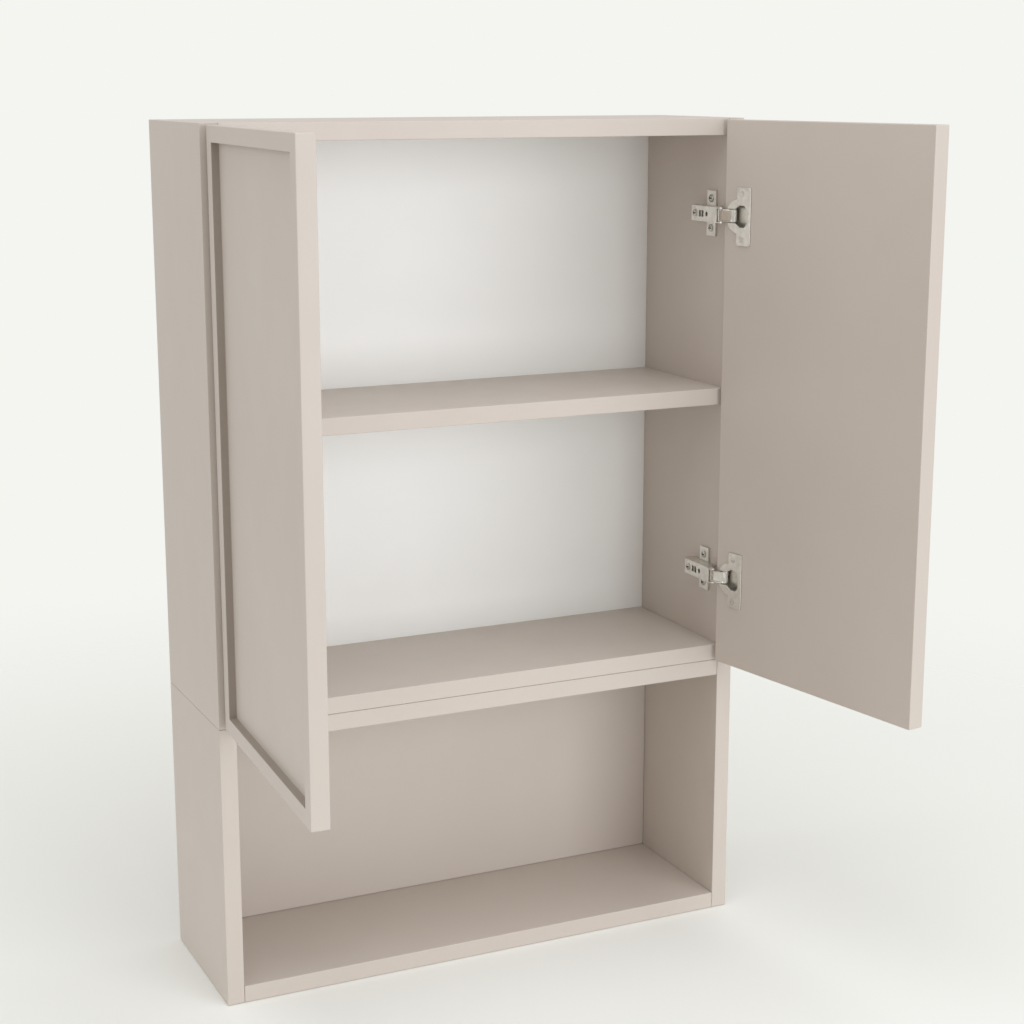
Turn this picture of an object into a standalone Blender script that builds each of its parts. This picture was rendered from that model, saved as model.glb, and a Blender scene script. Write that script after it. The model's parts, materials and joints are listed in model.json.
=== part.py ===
"""Over-the-toilet storage rack: a two-door cabinet module screwed onto an open cubby module.

Units are metres, +Z is up, the doors face -Y and the wall is at +Y. The origin is the middle of
the underside. Each door hangs on two concealed cup hinges. The rack is built with its doors open.
"""

import math

import bmesh
import bpy
from mathutils import Matrix, Vector

# Overall sizes
WIDTH = 0.600
DEPTH = 0.180
HEIGHT = 0.900
LOWER_HEIGHT = 0.300
BOARD = 0.018
GAP = 0.0003
EDGE_ROUND = 0.0006

# Backs and shelf
UPPER_BACK_BOARD = 0.003
LOWER_BACK_BOARD = 0.015
REBATE_WIDTH = 0.006
SHELF_TOP = 0.6097

# Doors
DOOR_BOARD = 0.018
DOOR_REVEAL = 0.0015
DOOR_MIDDLE_GAP = 0.003
DOOR_STANDOFF = 0.003
DOOR_RIM = 0.016
DOOR_RECESS = 0.008
RIGHT_OPEN = 99.8
LEFT_OPEN = 92.8

# Hinge layout: distances from the door's ends, and the two pivots
UPPER_HINGE_INSET = 0.1007
LOWER_HINGE_INSET = 0.0985
PIVOT_INWARD = 0.012
PIVOT_FORWARD = 0.0045
CUP_PIVOT_ALONG = 0.012
CUP_PIVOT_DEEP = 0.003
LINK_SHARE = 0.5
PIN_RADIUS = 0.00125

# Hinge cup
CUP_BORE = 0.035
CUP_TO_EDGE = 0.0045
CUP_DEPTH = 0.0085
CUP_WALL = 0.001
FLANGE_RADIUS = 0.0182
FLANGE_THICK = 0.0013
WING_LENGTH = 0.062
WING_NEAR = -0.0015
WING_FAR = 0.0195
CUP_SCREW_SPACING = 0.048
CUP_SCREW_OFFSET = 0.006
LINK_NOTCH = 0.0152

# Hinge link
LINK_WIDTH = 0.0134
LINK_THICK = 0.0016
LINK_RISE = 0.003
EYE_RADIUS = 0.0025

# Hinge arm
ARM_WIDTH = 0.0165
ARM_SHEET = 0.0012
ARM_BACK = 0.056
ARM_TOP = 0.0152
ARM_FOOT = 0.0034
ARM_NECK = 0.0088
ARM_LUG_RADIUS = 0.0032
ARM_SCREW_BACK = 0.043
ARM_SLOT_BACKS = (0.0327, 0.0273)
ARM_SLOT_LENGTH = 0.0042
ARM_SLOT_WIDTH = 0.007
ARM_HOLE_BACK = 0.019
ARM_HOLE_RADIUS = 0.0026

# Hinge mounting plate
PLATE_THICK = 0.0024
PLATE_WING_LENGTH = 0.049
PLATE_WING_WIDTH = 0.018
PLATE_SETBACK = 0.030
PLATE_SCREW_SPACING = 0.032
PLATE_SPINE_WIDTH = 0.0156
BLOCK_LENGTH = 0.0165

# Screws: head radius, head height, shank radius, whole length
CUP_SCREW = (0.0035, 0.0019, 0.0016, 0.0100)
PLATE_SCREW = (0.0042, 0.0020, 0.0025, 0.0155)
ARM_SCREW = (0.0040, 0.0016, 0.0020, 0.0085)
MODULE_SCREW = (0.0040, 0.0022, 0.0020, 0.0300)
MODULE_SCREW_INSET = (0.060, 0.035)
SCREW_RIM = 0.0003
TIP_START = 0.85
DOME = ((0.6, 0.85), (1.0, 0.35))

# Shelf dowels and wall hangers
DOWEL_RADIUS = 0.004
DOWEL_LENGTH = 0.024
DOWEL_INSET = 0.040
HANGER_WIDTH = 0.009
HANGER_LENGTH = 0.040
HANGER_THICK = 0.0015
HANGER_BELOW_TOP = 0.045
HANGER_WELL = (0.0072, 0.020, 0.009)
KEYHOLE_RADIUS = 0.0034
KEYHOLE_SLOT = 0.0036

# Values that follow from the ones above
FRONT = -DEPTH / 2
REAR = DEPTH / 2
INNER_HALF = WIDTH / 2 - BOARD
UPPER_FLOOR = LOWER_HEIGHT + GAP
DOOR_WIDTH = (WIDTH - 2 * DOOR_REVEAL - DOOR_MIDDLE_GAP) / 2
DOOR_BOTTOM = LOWER_HEIGHT + DOOR_REVEAL
DOOR_TOP = HEIGHT - DOOR_REVEAL
UPPER_HINGE = DOOR_TOP - UPPER_HINGE_INSET
LOWER_HINGE = DOOR_BOTTOM + LOWER_HINGE_INSET
HINGE_HEIGHTS = (("upper", UPPER_HINGE), ("lower", LOWER_HINGE))
CUP_FROM_EDGE = CUP_TO_EDGE + CUP_BORE / 2
DOOR_EDGE_INWARD = DOOR_REVEAL - BOARD
SIDES = (("left", -1), ("right", 1))
ENDS = (("bottom", -1), ("top", 1))
FINE = 24
COARSE = 10


# Materials


def make_material(name, colour, roughness, metallic):
    """A Principled material from an sRGB-looking linear colour triple."""
    material = bpy.data.materials.new(name)
    material.use_nodes = True
    shader = material.node_tree.nodes["Principled BSDF"]
    shader.inputs["Base Color"].default_value = (*colour, 1.0)
    shader.inputs["Roughness"].default_value = roughness
    shader.inputs["Metallic"].default_value = metallic
    material.diffuse_color = (*colour, 1.0)
    return material


# Mesh tools


def box(low, high):
    """A box between two corners."""
    mesh = bmesh.new()
    size = [b - a for a, b in zip(low, high)]
    centre = [(a + b) / 2 for a, b in zip(low, high)]
    place = Matrix.Translation(centre) @ Matrix.Diagonal((*size, 1.0))
    bmesh.ops.create_cube(mesh, size=1.0, matrix=place)
    return mesh


def prism(outline, low, high):
    """An outline of (x, y) points, extruded from z = low to z = high."""
    mesh = bmesh.new()
    face = mesh.faces.new([mesh.verts.new((x, y, low)) for x, y in outline])
    grown = bmesh.ops.extrude_face_region(mesh, geom=[face])["geom"]
    moved = [item for item in grown if isinstance(item, bmesh.types.BMVert)]
    bmesh.ops.translate(mesh, vec=(0.0, 0.0, high - low), verts=moved)
    bmesh.ops.recalc_face_normals(mesh, faces=mesh.faces)
    return mesh


def turned(profile, segments):
    """A profile of (radius, height) points that starts and ends on the z axis, turned about it."""
    mesh = bmesh.new()
    points = [mesh.verts.new((radius, 0.0, height)) for radius, height in profile]
    edges = [mesh.edges.new(pair) for pair in zip(points, points[1:])]
    bmesh.ops.spin(
        mesh,
        geom=points + edges,
        axis=(0.0, 0.0, 1.0),
        cent=(0.0, 0.0, 0.0),
        angle=math.tau,
        steps=segments,
        use_merge=True,
    )
    bmesh.ops.remove_doubles(mesh, verts=mesh.verts, dist=0.00001)
    bmesh.ops.recalc_face_normals(mesh, faces=mesh.faces)
    return mesh


def cylinder(radius, low, high, segments=FINE):
    """A cylinder about the z axis."""
    return turned([(0.0, high), (radius, high), (radius, low), (0.0, low)], segments)


def moved(mesh, matrix):
    """The mesh after a transform, with its faces still pointing out."""
    bmesh.ops.transform(mesh, matrix=matrix, verts=mesh.verts)
    if matrix.determinant() < 0:
        bmesh.ops.reverse_faces(mesh, faces=mesh.faces)
    return mesh


def make_object(name, mesh, material=None, pivot=None):
    """An object from a mesh in closed-door world coordinates, its origin on its pivot if it has one."""
    if pivot:
        moved(mesh, Matrix.Translation(-pivot["closed"]))
    data = bpy.data.meshes.new(name)
    mesh.to_mesh(data)
    mesh.free()
    made = bpy.data.objects.new(name, data)
    bpy.context.collection.objects.link(made)
    if pivot:
        made.parent = pivot["empty"]
    if material:
        data.materials.append(material)
    return made


def bevel(target, width=EDGE_ROUND, segments=2):
    """Rounds the target's edges."""
    modifier = target.modifiers.new("Rounded edges", "BEVEL")
    modifier.width = width
    modifier.segments = segments
    modifier.limit_method = "ANGLE"


def boolean(target, mesh, label, operation="DIFFERENCE", pivot=None):
    """Cuts a mesh from the target, or joins it to the target."""
    helper = make_object(f"{target.name}_{label}", mesh, pivot=pivot)
    helper.hide_render = True
    helper.display_type = "WIRE"
    modifier = target.modifiers.new(label, "BOOLEAN")
    modifier.operation = operation
    modifier.object = helper
    modifier.solver = "EXACT"


def smooth(target):
    """Shades round faces smooth and keeps the real edges sharp."""
    target.data.shade_smooth()
    target.data.set_sharp_from_angle(angle=math.radians(35))


# Screws


def pan_screw(size, clearance=0.0):
    """A domed screw, its head's underside at z = 0 and its point down -z."""
    head, rise, shank, length = size
    reach = -(length - rise) - clearance
    if clearance:
        return cylinder(shank + clearance, reach, rise, COARSE)
    profile = [(0.0, rise), *((head * out, rise * up) for out, up in DOME), (head, 0.0)]
    profile += [(shank, 0.0), (shank, reach * TIP_START), (0.0, reach)]
    return turned(profile, COARSE)


def flat_screw(size, clearance=0.0):
    """A countersunk screw, the top of its head at z = 0 and its point down -z."""
    head, rise, shank, length = size
    above = rise if clearance else 0.0
    profile = [(0.0, above), (head + clearance, above), (head + clearance, -clearance - SCREW_RIM)]
    profile += [(shank + clearance, -rise - clearance)]
    profile += [(shank + clearance, -length * TIP_START - clearance), (0.0, -length - clearance)]
    return turned(profile, COARSE)


# Frames for the hinge parts


def side_frame(sign, height=0.0):
    """Local x runs inward from a side's inner face, y forward from its front edge, z up."""
    return Matrix(
        (
            (-sign, 0.0, 0.0, sign * INNER_HALF),
            (0.0, -1.0, 0.0, FRONT),
            (0.0, 0.0, 1.0, height),
            (0.0, 0.0, 0.0, 1.0),
        )
    )


def door_frame(sign, height=0.0):
    """Local x runs along the closed door from its hinge edge, y into the door, z up."""
    return side_frame(sign, height) @ Matrix.Translation((DOOR_EDGE_INWARD, DOOR_STANDOFF, 0.0))


def facing(x, y, z, direction):
    """Places a screw's local frame at a point, with its +z axis along the direction."""
    turn = Vector((0.0, 0.0, 1.0)).rotation_difference(Vector(direction)).to_matrix().to_4x4()
    return Matrix.Translation((x, y, z)) @ turn


# Carcass


def side_cutters(sign):
    """What is cut from an upper side: plate screw holes, dowel holes, rebate and hanger pocket."""
    frame = side_frame(sign)
    cutters = []
    for _, height in HINGE_HEIGHTS:
        for end in (-1, 1):
            z = height + end * PLATE_SCREW_SPACING / 2
            place = facing(GAP * 2 + PLATE_THICK, -PLATE_SETBACK, z, (1, 0, 0))
            cutters.append(moved(pan_screw(PLATE_SCREW, GAP), frame @ place))
    for y in (FRONT + DOWEL_INSET, REAR - DOWEL_INSET):
        place = Matrix.Translation((sign * INNER_HALF, y, SHELF_TOP - BOARD / 2))
        cutters.append(moved(dowel(GAP), place))
    rebate_edge = INNER_HALF + REBATE_WIDTH
    lows = (INNER_HALF - BOARD, REAR - UPPER_BACK_BOARD - GAP, 0.0)
    cutters.append(sided_box(sign, lows, (rebate_edge, REAR + BOARD, HEIGHT + BOARD)))
    cutters += hanger_cutters(sign, rebate_edge)
    for number, cutter in enumerate(cutters):
        yield f"cut_{number}", cutter


def sided_box(sign, low, high):
    """A box given on the right-hand side, or its mirror image on the left."""
    xs = sorted((sign * low[0], sign * high[0]))
    return box((xs[0], low[1], low[2]), (xs[1], high[1], high[2]))


def dowel(clearance=0.0):
    """A shelf dowel along x about its own middle."""
    half = DOWEL_LENGTH / 2 + clearance
    upright = cylinder(DOWEL_RADIUS + clearance, -half, half, COARSE)
    return moved(upright, Matrix.Rotation(math.pi / 2, 4, "Y"))


def hanger_middle(rebate_edge):
    """The x and z of a wall hanger's middle, on the right-hand side."""
    return (rebate_edge + WIDTH / 2) / 2, HEIGHT - HANGER_BELOW_TOP


def hanger_cutters(sign, rebate_edge):
    """The pocket that a wall hanger is let into, and the well for the wall screw's head behind it."""
    x, z = hanger_middle(rebate_edge)
    shapes = ((HANGER_WIDTH + 2 * GAP, HANGER_LENGTH + 2 * GAP, HANGER_THICK + GAP), HANGER_WELL)
    for width, length, deep in shapes:
        low = (x - width / 2, REAR - deep, z - length / 2)
        yield sided_box(sign, low, (x + width / 2, REAR + BOARD, z + length / 2))


def build_carcass(lacquer, back_white):
    """The eleven boards of the two modules."""
    fit = INNER_HALF - GAP
    for side, sign in SIDES:
        lower = make_object(
            f"lower_side_{side}",
            sided_box(sign, (INNER_HALF, FRONT, 0.0), (WIDTH / 2, REAR, LOWER_HEIGHT)),
            lacquer,
        )
        bevel(lower)
        upper = make_object(
            f"upper_side_{side}",
            sided_box(sign, (INNER_HALF, FRONT, UPPER_FLOOR), (WIDTH / 2, REAR, HEIGHT)),
            lacquer,
        )
        bevel(upper)
        for label, cutter in side_cutters(sign):
            boolean(upper, cutter, label)

    levels = (
        ("upper_top_panel", HEIGHT - BOARD, HEIGHT - BOARD),
        ("upper_bottom_panel", UPPER_FLOOR, UPPER_FLOOR + BOARD),
        ("lower_top_panel", LOWER_HEIGHT - BOARD, None),
        ("lower_bottom_panel", 0.0, None),
    )
    panels = {}
    for name, bottom, rebate in levels:
        low, high = (-fit, FRONT, bottom), (fit, REAR, bottom + BOARD)
        panels[name] = make_object(name, box(low, high), lacquer)
        bevel(panels[name])
        if rebate is not None:
            low = (-WIDTH, REAR - UPPER_BACK_BOARD - GAP, rebate - REBATE_WIDTH)
            boolean(panels[name], box(low, (WIDTH, REAR + BOARD, rebate + REBATE_WIDTH)), "rebate")

    back_half = INNER_HALF + REBATE_WIDTH - GAP
    back_low = UPPER_FLOOR + BOARD - REBATE_WIDTH + GAP
    back_high = HEIGHT - BOARD + REBATE_WIDTH - GAP
    low, high = (-back_half, REAR - UPPER_BACK_BOARD, back_low), (back_half, REAR, back_high)
    make_object("upper_back_panel", box(low, high), back_white)

    low = (-fit, REAR - LOWER_BACK_BOARD, BOARD + GAP)
    high = (fit, REAR, LOWER_HEIGHT - BOARD - GAP)
    bevel(make_object("lower_back_panel", box(low, high), lacquer))

    low = (-fit, FRONT, SHELF_TOP - BOARD)
    shelf = make_object("shelf", box(low, (fit, REAR - UPPER_BACK_BOARD - GAP, SHELF_TOP)), lacquer)
    bevel(shelf)
    return panels, shelf


def build_dowels(shelf, beech):
    """Four dowels that carry the shelf between the upper sides."""
    for side, sign in SIDES:
        for end, y in (("front", FRONT + DOWEL_INSET), ("rear", REAR - DOWEL_INSET)):
            place = Matrix.Translation((sign * INNER_HALF, y, SHELF_TOP - BOARD / 2))
            smooth(make_object(f"shelf_dowel_{side}_{end}", moved(dowel(), place), beech))
            boolean(shelf, moved(dowel(GAP), place), f"hole_{side}_{end}")


def build_module_screws(panels, steel):
    """Four screws, driven up through the cubby's top into the cabinet's bottom."""
    inset_x, inset_y = MODULE_SCREW_INSET
    top = LOWER_HEIGHT - BOARD
    for side, sign in SIDES:
        for end, y in (("front", FRONT + inset_y), ("rear", REAR - inset_y)):
            place = facing(sign * (INNER_HALF - inset_x), y, top, (0, 0, -1))
            screw = moved(flat_screw(MODULE_SCREW), place)
            smooth(make_object(f"module_screw_{side}_{end}", screw, steel))
            for name in ("lower_top_panel", "upper_bottom_panel"):
                boolean(panels[name], moved(flat_screw(MODULE_SCREW, GAP), place), f"hole_{side}_{end}")


def build_hangers(steel):
    """Two keyhole plates let into the rear edges of the upper sides."""
    x, z = hanger_middle(INNER_HALF + REBATE_WIDTH)
    for side, sign in SIDES:
        low = (x - HANGER_WIDTH / 2, REAR - HANGER_THICK, z - HANGER_LENGTH / 2)
        high = (x + HANGER_WIDTH / 2, REAR, z + HANGER_LENGTH / 2)
        hanger = make_object(f"wall_hanger_{side}", sided_box(sign, low, high), steel)
        hole = z - KEYHOLE_RADIUS
        place = Matrix.Translation((sign * x, REAR, hole)) @ Matrix.Rotation(math.pi / 2, 4, "X")
        boolean(hanger, moved(cylinder(KEYHOLE_RADIUS, -BOARD, BOARD), place), "keyhole")
        low = (x - KEYHOLE_SLOT / 2, REAR - BOARD, hole)
        high = (x + KEYHOLE_SLOT / 2, REAR + BOARD, z + KEYHOLE_RADIUS * 2)
        boolean(hanger, sided_box(sign, low, high), "slot")


# Doors and hinges


def make_pivots(side, sign, opening):
    """The two pivot empties of one door: the arm pivot, and the cup pivot that it carries."""
    frame = side_frame(sign)
    arm_closed = frame @ Vector((PIVOT_INWARD, PIVOT_FORWARD, 0.0))
    cup_closed = door_frame(sign) @ Vector((CUP_PIVOT_ALONG, CUP_PIVOT_DEEP, 0.0))
    turn = sign * math.radians(opening)

    arm_empty = bpy.data.objects.new(f"{side}_arm_pivot", None)
    arm_empty.location = arm_closed
    arm_empty.rotation_euler.z = -LINK_SHARE * turn
    cup_empty = bpy.data.objects.new(f"{side}_cup_pivot", None)
    cup_empty.parent = arm_empty
    cup_empty.location = cup_closed - arm_closed
    cup_empty.rotation_euler.z = (1 + LINK_SHARE) * turn
    for empty in (arm_empty, cup_empty):
        bpy.context.collection.objects.link(empty)
    arm_pivot = {"empty": arm_empty, "closed": arm_closed}
    return arm_pivot, {"empty": cup_empty, "closed": cup_closed}


def door_mesh(sign):
    """A slab with a raised rim round a flat recessed field on its outer face."""
    mesh = box((0.0, 0.0, DOOR_BOTTOM), (DOOR_WIDTH, DOOR_BOARD, DOOR_TOP))
    mesh.faces.ensure_lookup_table()
    outer = max(mesh.faces, key=lambda face: face.calc_center_median().y)
    bmesh.ops.inset_region(mesh, faces=[outer], thickness=DOOR_RIM, use_even_offset=True)
    grown = bmesh.ops.extrude_face_region(mesh, geom=[outer])["geom"]
    field = [item for item in grown if isinstance(item, bmesh.types.BMVert)]
    bmesh.ops.translate(mesh, vec=(0.0, -DOOR_RECESS, 0.0), verts=field)
    bmesh.ops.delete(mesh, geom=[outer], context="FACES_ONLY")
    return moved(mesh, door_frame(sign))


def cup_place(sign, height):
    """Local +z points out of the door's inner face at the middle of a hinge cup."""
    return door_frame(sign, height) @ facing(CUP_FROM_EDGE, 0.0, 0.0, (0, -1, 0))


def cup_screw_places(sign, height):
    """The tops of the two flange screws of one hinge."""
    for label, end in ENDS:
        x = CUP_FROM_EDGE + CUP_SCREW_OFFSET
        place = facing(x, -FLANGE_THICK - GAP, end * CUP_SCREW_SPACING / 2, (0, -1, 0))
        yield label, door_frame(sign, height) @ place


def build_door(side, sign, pivot, lacquer):
    """One door with its cup pockets and pilot holes."""
    door = make_object(f"door_{side}", door_mesh(sign), lacquer, pivot)
    bevel(door)
    for level, height in HINGE_HEIGHTS:
        pocket = cylinder(CUP_BORE / 2, -CUP_DEPTH - GAP, BOARD)
        boolean(door, moved(pocket, cup_place(sign, height)), f"{level}_pocket", pivot=pivot)
        for end, place in cup_screw_places(sign, height):
            boolean(door, moved(flat_screw(CUP_SCREW, GAP), place), f"{level}_{end}_hole", pivot=pivot)


def arc(radius, start, end, steps):
    """Points round the origin from one angle to another."""
    for step in range(steps + 1):
        angle = start + (end - start) * step / steps
        yield radius * math.cos(angle), radius * math.sin(angle)


def flange_outline():
    """A disc round the cup with a straight-sided wing over its far half, about the cup's middle."""
    tip = WING_LENGTH / 2
    angle = math.acos(WING_NEAR / FLANGE_RADIUS)
    corners = [(WING_NEAR, -tip), (WING_FAR, -tip), (WING_FAR, tip), (WING_NEAR, tip)]
    return [*corners, *arc(FLANGE_RADIUS, angle, math.tau - angle, COARSE)]


def build_cup(name, sign, height, pivot, nickel):
    """The pressed cup with its winged flange and the pin that the link turns on."""
    outer = CUP_BORE / 2 - GAP
    inner = outer - CUP_WALL
    place = cup_place(sign, height)
    frame = door_frame(sign, height)
    top = GAP + FLANGE_THICK

    cup = make_object(name, moved(prism(flange_outline(), GAP, top), place), nickel, pivot)
    boolean(cup, moved(cylinder(outer, -CUP_DEPTH, top - GAP), place), "shell", "UNION", pivot)
    boolean(cup, moved(cylinder(inner, -CUP_DEPTH + CUP_WALL, BOARD), place), "hollow", pivot=pivot)
    notch = box((-BOARD, -BOARD, -LINK_NOTCH / 2), (CUP_FROM_EDGE / 2, CUP_WALL, LINK_NOTCH / 2))
    boolean(cup, moved(notch, frame), "notch", pivot=pivot)
    reach = math.sqrt(inner**2 - (CUP_FROM_EDGE - CUP_PIVOT_ALONG) ** 2) + CUP_WALL / 2
    pin_place = frame @ Matrix.Translation((CUP_PIVOT_ALONG, CUP_PIVOT_DEEP, 0.0))
    boolean(cup, moved(cylinder(PIN_RADIUS, -reach, reach, COARSE), pin_place), "pin", "UNION", pivot)
    for end, screw in cup_screw_places(sign, height):
        boolean(cup, moved(flat_screw(CUP_SCREW, GAP), screw), f"{end}_hole", pivot=pivot)


def link_outline(start, end):
    """A strap from one pivot to the other that bows to its right, with square ends."""
    span = (end - start).length
    along = (end - start).normalized()
    across = Vector((along.y, -along.x))
    radius = ((span / 2) ** 2 + LINK_RISE**2) / (2 * LINK_RISE)
    outside, inside = [], []
    for step in range(COARSE + 1):
        x = span * step / COARSE
        rise = math.sqrt(radius**2 - (x - span / 2) ** 2) - (radius - LINK_RISE)
        middle = start + along * x + across * rise
        outside.append(middle + across * LINK_THICK / 2)
        inside.append(middle - across * LINK_THICK / 2)
    return [tuple(point) for point in outside + inside[::-1]]


def build_link(name, sign, height, pivot, nickel):
    """The bowed strap with an eye at each end."""
    frame = side_frame(sign, height)
    start = Vector((PIVOT_INWARD, PIVOT_FORWARD))
    end = Vector((DOOR_EDGE_INWARD + CUP_PIVOT_ALONG, DOOR_STANDOFF + CUP_PIVOT_DEEP))
    half = LINK_WIDTH / 2
    strap = prism(link_outline(start, end), -half, half)
    link = make_object(name, moved(strap, frame), nickel, pivot)
    for label, centre, inset in (("arm", start, GAP), ("cup", end, GAP * 2)):
        place = frame @ Matrix.Translation((centre.x, centre.y, 0.0))
        eye = cylinder(EYE_RADIUS, -half + inset, half - inset, FINE)
        boolean(link, moved(eye, place), f"{label}_eye", "UNION", pivot)
    for label, centre in (("arm", start), ("cup", end)):
        place = frame @ Matrix.Translation((centre.x, centre.y, 0.0))
        hole = cylinder(PIN_RADIUS + GAP, -BOARD, BOARD, COARSE)
        boolean(link, moved(hole, place), f"{label}_hole", pivot=pivot)


def build_arm(name, sign, height, nickel):
    """The channel-shaped arm, open towards the side, with two lugs that hold the link's pin."""
    frame = side_frame(sign, height)
    half = ARM_WIDTH / 2
    hollow = half - ARM_SHEET
    chamfer = (ARM_TOP - ARM_FOOT) / 4
    outline = [
        (ARM_FOOT, -ARM_BACK),
        (ARM_TOP - chamfer, -ARM_BACK),
        (ARM_TOP, -ARM_BACK + 2 * chamfer),
        (ARM_TOP, PIVOT_FORWARD),
        (ARM_NECK, PIVOT_FORWARD),
        (ARM_NECK, -ARM_LUG_RADIUS),
        (ARM_FOOT, -ARM_LUG_RADIUS - 2 * chamfer),
    ]
    arm = make_object(name, moved(prism(outline, -half, half), frame), nickel)
    pivot_place = frame @ Matrix.Translation((PIVOT_INWARD, PIVOT_FORWARD, 0.0))
    boolean(arm, moved(cylinder(ARM_LUG_RADIUS, -half, half), pivot_place), "lug", "UNION")
    low = (-BOARD, -ARM_BACK + ARM_SHEET, -hollow)
    boolean(arm, moved(box(low, (ARM_TOP - ARM_SHEET, BOARD, hollow)), frame), "channel")
    low = (ARM_NECK, PIVOT_FORWARD - ARM_LUG_RADIUS, -hollow)
    boolean(arm, moved(box(low, (BOARD, BOARD, hollow)), frame), "mouth")
    pin = cylinder(PIN_RADIUS, -half - GAP, half + GAP, COARSE)
    boolean(arm, moved(pin, pivot_place), "pin", "UNION")
    for number, back in enumerate(ARM_SLOT_BACKS):
        low = (ARM_TOP - 2 * ARM_SHEET, -back - ARM_SLOT_LENGTH / 2, -ARM_SLOT_WIDTH / 2)
        slot = box(low, (BOARD, -back + ARM_SLOT_LENGTH / 2, ARM_SLOT_WIDTH / 2))
        boolean(arm, moved(slot, frame), f"slot_{number}")
    hole_place = frame @ facing(ARM_TOP, -ARM_HOLE_BACK, 0.0, (1, 0, 0))
    boolean(arm, moved(cylinder(ARM_HOLE_RADIUS, -BOARD, BOARD, COARSE), hole_place), "hole")
    screw = frame @ facing(ARM_TOP + GAP, -ARM_SCREW_BACK, 0.0, (1, 0, 0))
    boolean(arm, moved(pan_screw(ARM_SCREW, GAP), screw), "screw_hole")
    return screw


def build_plate(name, sign, height, nickel):
    """The cross-shaped plate on the side panel, with the block that the arm sits over."""
    frame = side_frame(sign, height)
    top = GAP + PLATE_THICK
    near, far = -PLATE_SETBACK + PLATE_WING_WIDTH / 2, -PLATE_SETBACK - PLATE_WING_WIDTH / 2
    low = (GAP, far, -PLATE_WING_LENGTH / 2)
    plate = make_object(name, moved(box(low, (top, near, PLATE_WING_LENGTH / 2)), frame), nickel)
    half = PLATE_SPINE_WIDTH / 2
    low = (GAP, -ARM_BACK + 2 * ARM_SHEET, -half)
    boolean(plate, moved(box(low, (top, -ARM_HOLE_BACK / 2, half)), frame), "spine", "UNION")
    block = ARM_WIDTH / 2 - ARM_SHEET - 1.5 * GAP
    back = -ARM_BACK + 3 * ARM_SHEET
    low = (top / 2, back, -block)
    high = (ARM_TOP - ARM_SHEET - GAP, back + BLOCK_LENGTH, block)
    boolean(plate, moved(box(low, high), frame), "block", "UNION")
    for label, end in ENDS:
        place = facing(top + GAP, -PLATE_SETBACK, end * PLATE_SCREW_SPACING / 2, (1, 0, 0))
        boolean(plate, moved(pan_screw(PLATE_SCREW, GAP), frame @ place), f"{label}_hole")
    screw = frame @ facing(ARM_TOP + GAP, -ARM_SCREW_BACK, 0.0, (1, 0, 0))
    boolean(plate, moved(pan_screw(ARM_SCREW, GAP), screw), "screw_hole")


def build_hinge(side, sign, level, height, pivots, nickel, steel):
    """One concealed hinge: plate and arm on the side, link between, cup on the door, and screws."""
    name = f"hinge_{side}_{level}"
    arm_pivot, cup_pivot = pivots
    build_plate(f"{name}_plate", sign, height, nickel)
    arm_screw = build_arm(f"{name}_arm", sign, height, nickel)
    build_link(f"{name}_link", sign, height, arm_pivot, nickel)
    build_cup(f"{name}_cup", sign, height, cup_pivot, nickel)
    smooth(make_object(f"{name}_arm_screw", moved(pan_screw(ARM_SCREW), arm_screw), steel))
    frame = side_frame(sign, height)
    for label, end in ENDS:
        place = facing(2 * GAP + PLATE_THICK, -PLATE_SETBACK, end * PLATE_SCREW_SPACING / 2, (1, 0, 0))
        screw = moved(pan_screw(PLATE_SCREW), frame @ place)
        smooth(make_object(f"{name}_plate_screw_{label}", screw, steel))
    for label, place in cup_screw_places(sign, height):
        screw = moved(flat_screw(CUP_SCREW), place)
        smooth(make_object(f"{name}_cup_screw_{label}", screw, steel, cup_pivot))


def main():
    """Builds the rack."""
    for old in list(bpy.data.objects):
        bpy.data.objects.remove(old, do_unlink=True)
    lacquer = make_material("Taupe lacquered board", (0.61, 0.55, 0.49), 0.45, 0.0)
    back_white = make_material("White back board", (0.87, 0.87, 0.86), 0.40, 0.0)
    nickel = make_material("Nickel-plated steel", (0.72, 0.70, 0.67), 0.25, 1.0)
    steel = make_material("Zinc-plated screw steel", (0.65, 0.65, 0.64), 0.35, 1.0)
    beech = make_material("Beech dowel", (0.55, 0.38, 0.22), 0.60, 0.0)

    panels, shelf = build_carcass(lacquer, back_white)
    build_dowels(shelf, beech)
    build_module_screws(panels, steel)
    build_hangers(steel)
    for (side, sign), opening in zip(SIDES, (LEFT_OPEN, RIGHT_OPEN)):
        pivots = make_pivots(side, sign, opening)
        build_door(side, sign, pivots[1], lacquer)
        for level, height in HINGE_HEIGHTS:
            build_hinge(side, sign, level, height, pivots, nickel, steel)


if __name__ == "__main__":
    main()
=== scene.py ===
"""Looks of the storage rack: lacquered boards, framed doors, concealed hinges and a studio.

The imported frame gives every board, pivot and body. This script gives the boards their finishes and
builds the doors, hinge parts and screws as fine surfaces that stand for the plain ones.
"""

import json
import logging
import math
from dataclasses import dataclass, field
from enum import Enum

import bmesh
import bpy
import numpy as np
from mathutils import Matrix, Vector

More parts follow.
